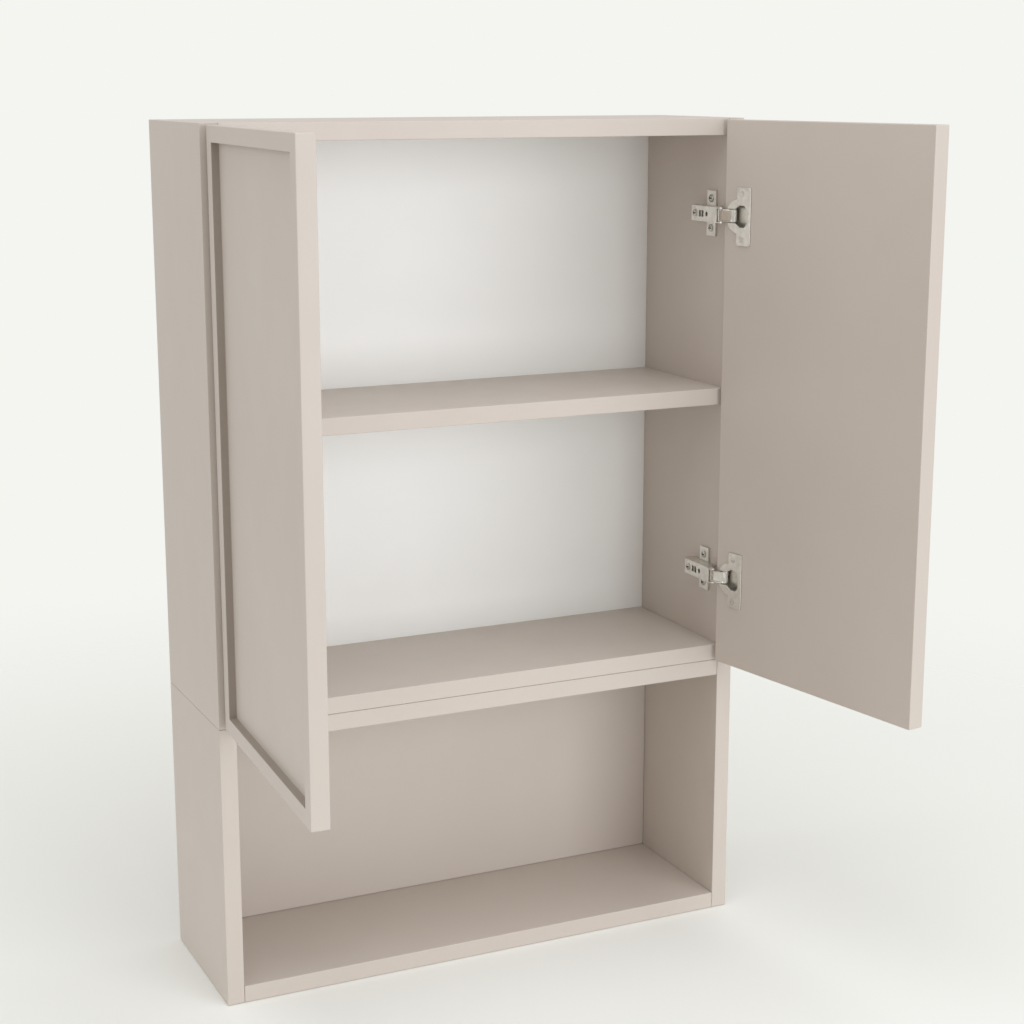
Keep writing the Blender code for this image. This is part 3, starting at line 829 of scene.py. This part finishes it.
@dataclass
class HingeCup:
    """The pressed cup with its winged flange."""

    swing: Swing
    material: bpy.types.Material
    from_edge: float = 22 * MM
    bore: float = 17.2 * MM
    sheet: float = 1.0 * MM
    depth: float = 8.5 * MM
    gap: float = 0.3 * MM
    flange: float = 1.3 * MM
    flange_radius: float = 18.2 * MM
    wing_shift: float = 9 * MM
    wing_width: float = 21 * MM
    wing_length: float = 62 * MM
    wing_corner: float = 2.6 * MM
    slot_half: float = 7.4 * MM
    slot_reach: float = 16.6 * MM
    notch_half: float = 7.6 * MM
    notch_deep: float = 1.0 * MM
    edge: float = 0.55 * MM

    def outline(self, angles: np.ndarray) -> np.ndarray:
        """Outer edge of the flange: the larger of a disc and a rounded rectangle set off centre.

        Args:
            angles: Directions from the cup's middle.

        Returns:
            Distances.
        """
        size = [np.array([v]) for v in (self.wing_width, self.wing_length, self.wing_corner)]
        wing = rounded_ring(*size, 6)[0] + (self.wing_shift, 0.0)
        return np.maximum(polar_radius(wing, angles), self.flange_radius)

    def mouth(self, angles: np.ndarray) -> np.ndarray:
        """Inner edge of the flange: a wide octagon with a slot towards the door's edge for the link.

        Args:
            angles: Directions from the cup's middle.

        Returns:
            Distances.
        """
        octagon = [(14.3 * MM, 7.0 * MM), (10.0 * MM, 11.4 * MM), (1.8 * MM, 11.4 * MM)]
        slot = [(-4.6 * MM, self.slot_half), (-self.slot_reach, self.slot_half)]
        upper = np.array(octagon + slot)
        return polar_radius(np.concatenate([upper, upper[::-1] * (1, -1)]), angles)

    def build(self, name: str, height: float, node: str) -> None:
        """Builds the cup as rings round its middle, from its floor, out over the flange and back.

        Each ring has its own distance from the middle in each direction and its own height above
        the door's inner face; the flange's rings follow the mouth and the wing's outline. Towards
        the door's edge, within the notch's half width, those rings lie flat across the cup's wall
        at the notch's depth instead, so the link swings through with no flange in its way.

        Args:
            name: The piece's name.
            height: The hinge's height.
            node: The frame node it stands for.
        """
        angles = np.linspace(-math.pi, math.pi, 240, endpoint=False)
        inner, outer = self.bore - self.sheet, self.bore
        mouth, edge = self.mouth(angles), self.outline(angles)
        mouth = np.minimum(mouth, inner - 0.2 * MM)
        one = np.ones_like(angles)
        floor, under = -(self.depth - self.sheet), -self.depth
        top, low = self.gap + self.flange, self.gap
        arc_x, arc_y = quarter(self.edge, 0.0)
        levels = [(one * 0.3 * MM, floor), (one * (inner - 2 * MM), floor)]
        levels += [(one * (inner - 0.6 * MM), floor + 0.5 * MM), (one * inner, floor + 1.8 * MM)]
        wall = len(levels)
        levels += [(one * inner, -0.9 * MM), (mouth, -0.3 * MM)]
        levels += [(mouth + self.edge - x, top - self.edge + y) for x, y in zip(arc_x, arc_y)]
        levels += [(edge - self.edge + x, top - self.edge + y) for x, y in zip(arc_x[::-1], arc_y[::-1])]
        levels += [(edge, low + 0.1 * MM), (edge - 0.2 * MM, low), (one * outer, low)]
        rim = len(levels)
        levels += [(one * outer, under + 1.5 * MM), (one * (outer - 1.2 * MM), under)]
        levels += [(one * 0.3 * MM, under)]
        away = np.array([level[0] for level in levels])
        rise = np.array([level[1] for level in levels])[:, None] * one
        notch = (np.cos(angles) < 0) & (abs(np.sin(angles)) * outer < self.notch_half)
        away[wall:rim, notch] = np.linspace(inner, outer, rim - wall)[:, None]
        rise[wall:rim, notch] = -self.notch_deep
        rings = np.empty((*away.shape, 3))
        rings[..., 0] = away * np.cos(angles) + self.from_edge
        rings[..., 1] = -rise
        rings[..., 2] = away * np.sin(angles)
        rings = place_points(rings, self.swing.door_frame(height))
        body = f"{self.swing.side.word}_door"
        piece = Piece(name, skin(rings, name), self.material, body, "nickel", (node,)).make()
        even_normals(piece)


@dataclass
class HingeLink:
    """The bowed strap, rolled round a pin at each end."""

    swing: Swing
    material: bpy.types.Material
    width: float = 13.2 * MM
    thick: float = 1.1 * MM
    rise: float = 2.5 * MM
    eye: float = 1.85 * MM
    edge: float = 0.3 * MM
    flange: float = 1.3 * MM
    flange_high: float = 0.9 * MM

    def section(self) -> tuple[np.ndarray, np.ndarray]:
        """The strap's section, and how far each of its points rises where the edges are turned up.

        It is a flat bar with eased corners whose two edge strips, one flange wide, are lifted.

        Returns:
            Points (n, 2) of thickness and width, and their lifts.
        """
        half, edge, low = self.width / 2, self.edge, -self.thick / 2
        strip = half - self.flange
        width = np.array([strip - 0.4 * MM, strip, half - edge, half - 0.3 * edge, half])
        high = self.thick / 2 - np.array([0.0, 0.0, 0.0, 0.3, 1.0]) * edge
        rise = np.array([0.0, 1.0, 1.0, 1.0, 1.0])
        top = np.c_[np.r_[high[::-1], high], np.r_[-width[::-1], width]]
        under = [(low + edge, half), (low, half - edge), (low, edge - half), (low + edge, -half)]
        points = np.concatenate([top, under])
        lift = np.r_[rise[::-1], rise, np.zeros(4)] * self.flange_high
        return points, lift

    def path(self) -> np.ndarray:
        """The strap's middle line, seen along the pins.

        It runs nearly round the cup pin, over a circular bow and nearly round the arm pin. The bow
        starts and ends level with the tops of the two rolls.

        Returns:
            Points (n, 2) with x from the arm pin towards the cup pin and y on the bowed side.
        """
        span = (self.swing.cup_pivot - self.swing.arm_pivot).length
        extra = self.rise - self.eye
        radius = ((span / 2) ** 2 + extra**2) / (2 * extra)
        x = np.linspace(0, span, 19)
        bow = np.sqrt(radius**2 - (x - span / 2) ** 2) - (radius - extra) + self.eye
        first = np.linspace(-math.pi * 1.05, math.pi / 2, 20)[:-1]
        last = np.linspace(math.pi / 2, -math.pi * 0.95, 20)[1:]
        start = np.c_[-self.eye * np.cos(first), self.eye * np.sin(first)]
        end = np.c_[span + self.eye * np.cos(last), self.eye * np.sin(last)]
        return np.concatenate([start, np.c_[x, bow], end])

    def build(self, name: str, height: float, node: str) -> None:
        """Builds the link: a flat section with rounded edges, carried along its middle line.

        Args:
            name: The piece's name.
            height: The hinge's height.
            node: The frame node it stands for.
        """
        line = self.path()
        along = np.gradient(line, axis=0)
        along /= np.linalg.norm(along, axis=1, keepdims=True)
        across = np.c_[-along[:, 1], along[:, 0]]
        section, lift = self.section()
        span = (self.swing.cup_pivot - self.swing.arm_pivot).length
        share = np.clip(np.minimum(line[:, 0], span - line[:, 0]) / (0.22 * span), 0, 1)
        share[line[:, 1] < self.eye] = 0
        raised = section[None, :, 0] + lift[None] * (share**2 * (3 - 2 * share))[:, None]
        flat = line[:, None] + across[:, None] * raised[..., None]
        axis = self.swing.cup_pivot - self.swing.arm_pivot
        axis.normalize()
        side = Vector((axis.y, -axis.x, 0.0)) * self.swing.side.value
        rings = np.empty((*flat.shape[:2], 3))
        rings[:] = flat[..., :1] * np.array(axis) + flat[..., 1:] * np.array(side)
        rings += np.array(self.swing.arm_pivot)
        rings[..., 2] += height + section[None, :, 1]
        rings = place_points(rings, self.swing.link_rest)
        body = f"{self.swing.side.word}_links"
        Piece(name, skin(rings, name), self.material, body, "nickel", (node,)).make()


@dataclass
class Screw:
    """A turned screw with a cross recess in its head."""

    material: bpy.types.Material
    head: float
    rise: float
    shank: float
    length: float
    countersunk: bool
    recess: float = 1.5 * MM
    arm: float = 0.5 * MM

    def recess_share(self, x: np.ndarray, y: np.ndarray) -> np.ndarray:
        """Share of the cross recess's full depth: steep at the arms' sides, a slope at their ends.

        Args:
            x: Places across the head.
            y: Places across the head.

        Returns:
            0 outside the cross to 1 at its full depth.
        """
        near, far = np.minimum(abs(x), abs(y)), np.maximum(abs(x), abs(y))
        inside = np.clip((self.arm - near) / (0.12 * MM) + 0.5, 0, 1)
        return inside * np.clip((0.72 * self.head - far) / (0.35 * self.head), 0, 1)

    def head_height(self, x: np.ndarray, y: np.ndarray) -> np.ndarray:
        """Height of the head's top: a low dome less the cross recess.

        Args:
            x: Places across the head.
            y: Places across the head.

        Returns:
            Heights above the head's rim.
        """
        away = np.hypot(x, y) / self.head
        dome = (0.12 if self.countersunk else 0.75) * self.rise * (1 - away**2)
        return dome - self.recess * self.recess_share(x, y)

    def build(self, name: str, place: Matrix, body: str, node: str) -> None:
        """Builds the screw as rings about its axis: recessed head, rim, cone or flat, and shank.

        Args:
            name: The piece's name.
            place: The placement, its z axis out of the head and its origin on the seat.
            body: The body it rides on.
            node: The frame node it stands for.
        """
        angles = np.linspace(0, 2 * math.pi, 96, endpoint=False)
        radii = np.linspace(0.02, 1.0, 26)[:, None] * self.head
        x, y = radii * np.cos(angles), radii * np.sin(angles)
        rim = 0.0 if self.countersunk else self.rise * 0.3
        top = np.stack([x, y, self.head_height(x, y) + rim], axis=-1)
        low = -self.rise if self.countersunk else 0.0
        tip = -(self.length if self.countersunk else self.length - self.rise)
        seat = -0.0003 if self.countersunk else 0.0
        stack = [(self.head, seat), (self.shank, low), (self.shank, tip * 0.85), (0.05 * MM, tip)]
        lower = np.empty((len(stack), len(angles), 3))
        for ring, (radius, z) in zip(lower, stack):
            ring[:] = np.c_[radius * np.cos(angles), radius * np.sin(angles), np.full(len(angles), z)]
        rings = place_points(np.concatenate([top, lower]), place)
        mesh = skin(rings, name)
        # The recess attribute marks the cross recess, which the steel material darkens as painted shade.
        share = np.zeros(rings.shape[:2])
        share[: len(top)] = np.sqrt(self.recess_share(x, y))
        mesh.attributes.new("recess", "FLOAT", "POINT").data.foreach_set("value", share.ravel())
        Piece(name, mesh, self.material, body, "screw_steel", (node,)).make()


@dataclass
class Hinge:
    """One concealed hinge with all its parts and screws."""

    swing: Swing
    finishes: Finishes
    frame: dict
    level: str
    height: float
    gap: float = 0.3 * MM
    plate_top: float = 3.0 * MM
    arm_top: float = 15.5 * MM
    plate_setback: float = 30 * MM
    plate_screws: float = 16 * MM
    arm_screw_back: float = 43 * MM
    cup_screw_along: float = 28 * MM
    cup_screws: float = 24 * MM
    flange_top: float = 1.6 * MM

    def build(self) -> None:
        """Builds the hinge's parts."""
        word = self.swing.side.word
        base = f"hinge_{word}_{self.level}"
        own = f"{word}_{self.level}"
        for part, round_width in (("arm", 0.2 * MM), ("plate", 0.45 * MM)):
            node = f"{base}_{part}"
            mesh = merged_copy(self.frame["nodes"][node], node)
            made = Piece(f"hinge_{part}_{own}", mesh, self.finishes.nickel, "cabinet", "nickel", (node,))
            round_edges(made.make(), round_width)
        HingeCup(self.swing, self.finishes.nickel).build(f"hinge_cup_{own}", self.height, f"{base}_cup")
        HingeLink(self.swing, self.finishes.link).build(f"hinge_strap_{own}", self.height, f"{base}_link")
        self.build_screws(base, own)

    def build_screws(self, base: str, own: str) -> None:
        """Builds the hinge's five screws.

        Args:
            base: Start of the frame nodes' names.
            own: Start of the pieces' names.
        """
        steel, swing = self.finishes.screw, self.swing
        side, inward = swing.side_frame(self.height), Vector((1.0, 0.0, 0.0))
        pan = Screw(steel, 4.2 * MM, 2.0 * MM, 2.5 * MM, 15.5 * MM, False, arm=0.62 * MM)
        flat = Screw(steel, 3.5 * MM, 1.9 * MM, 1.6 * MM, 10 * MM, True)
        fixing = Screw(steel, 4.0 * MM, 1.6 * MM, 2.0 * MM, 8.5 * MM, False, arm=0.62 * MM)
        for end, way in (("bottom", -1), ("top", 1)):
            place = swing.facing(side, self.plate_top, -self.plate_setback, way * self.plate_screws, inward)
            name, node = f"plate_screw_{own}_{end}", f"{base}_plate_screw_{end}"
            pan.build(name, place, "cabinet", node)
            door, out = swing.door_frame(self.height), Vector((0.0, -1.0, 0.0))
            place = swing.facing(door, self.cup_screw_along, -self.flange_top, way * self.cup_screws, out)
            name, node = f"cup_screw_{own}_{end}", f"{base}_cup_screw_{end}"
            flat.build(name, place, f"{swing.side.word}_door", node)
        place = swing.facing(side, self.arm_top, -self.arm_screw_back, 0.0, inward)
        fixing.build(f"arm_screw_{own}", place, "cabinet", f"{base}_arm_screw")


@dataclass
class ModuleScrews:
    """The four screws that hold the cabinet down on the cubby."""

    finishes: Finishes
    frame: dict

    def build(self) -> None:
        """Builds each screw where the frame has it, its head facing down."""
        screw = Screw(self.finishes.screw, 4.0 * MM, 2.2 * MM, 2.0 * MM, 30 * MM, True, arm=0.5 * MM)
        down = Matrix.Rotation(math.pi, 4, "X")
        for side in Side:
            for end in ("front", "rear"):
                node = f"module_screw_{side.word}_{end}"
                low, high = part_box(node)
                middle = ((low[0] + high[0]) / 2, (low[1] + high[1]) / 2, low[2])
                place = Matrix.Translation(middle) @ down
                screw.build(f"joining_screw_{side.word}_{end}", place, "cabinet", node)


# ---------------------------------------------------------------------------------------------
# Studio
# ---------------------------------------------------------------------------------------------


@dataclass(frozen=True)
class Softbox:
    """A square soft light that faces the rack's middle."""

    name: str
    place: tuple[float, float, float]
    size: float
    power: float
    aim: tuple[float, float, float] = (0.0, 0.0, 0.45)
    colour: tuple[float, float, float] = (0.965, 1.0, 1.045)

    def build(self) -> None:
        """Adds the light to the scene."""
        data = bpy.data.lights.new(self.name, "AREA")
        data.size = self.size
        data.energy = self.power
        data.color = self.colour
        light = bpy.data.objects.new(self.name, data)
        light.location = self.place
        toward = Vector(self.aim) - Vector(self.place)
        light.rotation_euler = toward.to_track_quat("-Z", "Y").to_euler()
        bpy.context.scene.collection.objects.link(light)


@dataclass
class Studio:
    """Floor, soft light and camera."""

    camera_place: tuple[float, float, float] = (-0.8322, -1.9114, 0.9409)
    camera_tilt: float = 77.695
    camera_turn: float = -25.249
    lens: float = 68.8
    shift: tuple[float, float] = (-0.0010, -0.0065)
    backdrop: str = "#f4f5f0"
    dome: float = 0.66
    floor_half: float = 4.0
    floor_points: int = 9
    floor_drop: float = 0.4 * MM
    lamps: tuple[Softbox, ...] = (
        Softbox("Front softbox", (1.0, -3.1, 0.8), 2.2, 42.5),
        Softbox("Left softbox", (-3.2, -0.3, 1.4), 2.4, 16.0),
        Softbox("Overhead softbox", (0.0, -0.8, 3.2), 2.4, 34.0),
    )

    def build(self) -> None:
        """Builds the studio."""
        scene = bpy.context.scene
        scene.view_settings.view_transform = "Standard"
        scene.view_settings.look = "None"
        self.build_camera(scene)
        self.build_world(scene)
        self.build_floor()
        for lamp in self.lamps:
            lamp.build()

    def build_camera(self, scene: bpy.types.Scene) -> None:
        """Adds the camera.

        Args:
            scene: The scene.
        """
        data = bpy.data.cameras.new("Camera")
        data.lens = self.lens
        data.sensor_width = 36.0
        data.shift_x, data.shift_y = self.shift
        camera = bpy.data.objects.new("Camera", data)
        camera.location = self.camera_place
        camera.rotation_euler = (math.radians(self.camera_tilt), 0.0, math.radians(self.camera_turn))
        scene.collection.objects.link(camera)
        scene.camera = camera

    def build_world(self, scene: bpy.types.Scene) -> None:
        """Adds an even white surround: one brightness to look at and another to light with.

        Args:
            scene: The scene.
        """
        world = bpy.data.worlds.new("Studio")
        world.use_nodes = True
        tree = world.node_tree
        light = tree.nodes["Background"]
        light.inputs["Color"].default_value = linear("#fbfaf6")
        light.inputs["Strength"].default_value = self.dome
        seen = add_node(tree, "ShaderNodeBackground", {"Color": linear(self.backdrop), "Strength": 1.0})
        ray = add_node(tree, "ShaderNodeLightPath").outputs["Is Camera Ray"]
        inputs = {0: ray, 1: light.outputs["Background"], 2: seen.outputs["Background"]}
        blend = add_node(tree, "ShaderNodeMixShader", inputs)
        tree.links.new(blend.outputs["Shader"], tree.nodes["World Output"].inputs["Surface"])
        scene.world = world

    def build_floor(self) -> None:
        """Adds the floor: a level grid a hair below the rack's underside, so the two never flicker."""
        steps = np.linspace(-self.floor_half, self.floor_half, self.floor_points)
        x, y = np.meshgrid(steps, steps)
        points = np.stack([x, y, np.zeros_like(x)], axis=-1).reshape(-1, 3)
        index = np.arange(x.size).reshape(x.shape)
        corners = [index[:-1, :-1], index[:-1, 1:], index[1:, 1:], index[1:, :-1]]
        quads = np.stack(corners, axis=-1).reshape(-1, 4)
        mesh = bpy.data.meshes.new("Floor")
        mesh.from_pydata(points.tolist(), [], quads.tolist())
        mesh.materials.append(PaleFloor().build())
        floor = bpy.data.objects.new("Floor", mesh)
        floor.location.z = -self.floor_drop
        bpy.context.scene.collection.objects.link(floor)


def main() -> None:
    """Builds the rack's looks around the frame, and its studio."""
    logging.basicConfig(level=logging.INFO, format="%(message)s")
    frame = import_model()
    Studio().build()
    finishes = Finishes()
    carcass = Carcass(frame, finishes)
    carcass.dress()
    carcass.build_hangers()
    ModuleScrews(finishes, frame).build()
    joints = {joint["name"]: joint for joint in frame["record"]["behaviour"]["joints"]}
    heights = {}
    for level in ("upper", "lower"):
        low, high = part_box(f"hinge_right_{level}_cup")
        heights[level] = (low[2] + high[2]) / 2
    for side in Side:
        swing = Swing(side, joints)
        Door(swing, finishes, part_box(f"door_{side.word}")).build(heights)
        for level, height in heights.items():
            Hinge(swing, finishes, frame, level, height).build()


if __name__ == "__main__":
    main()
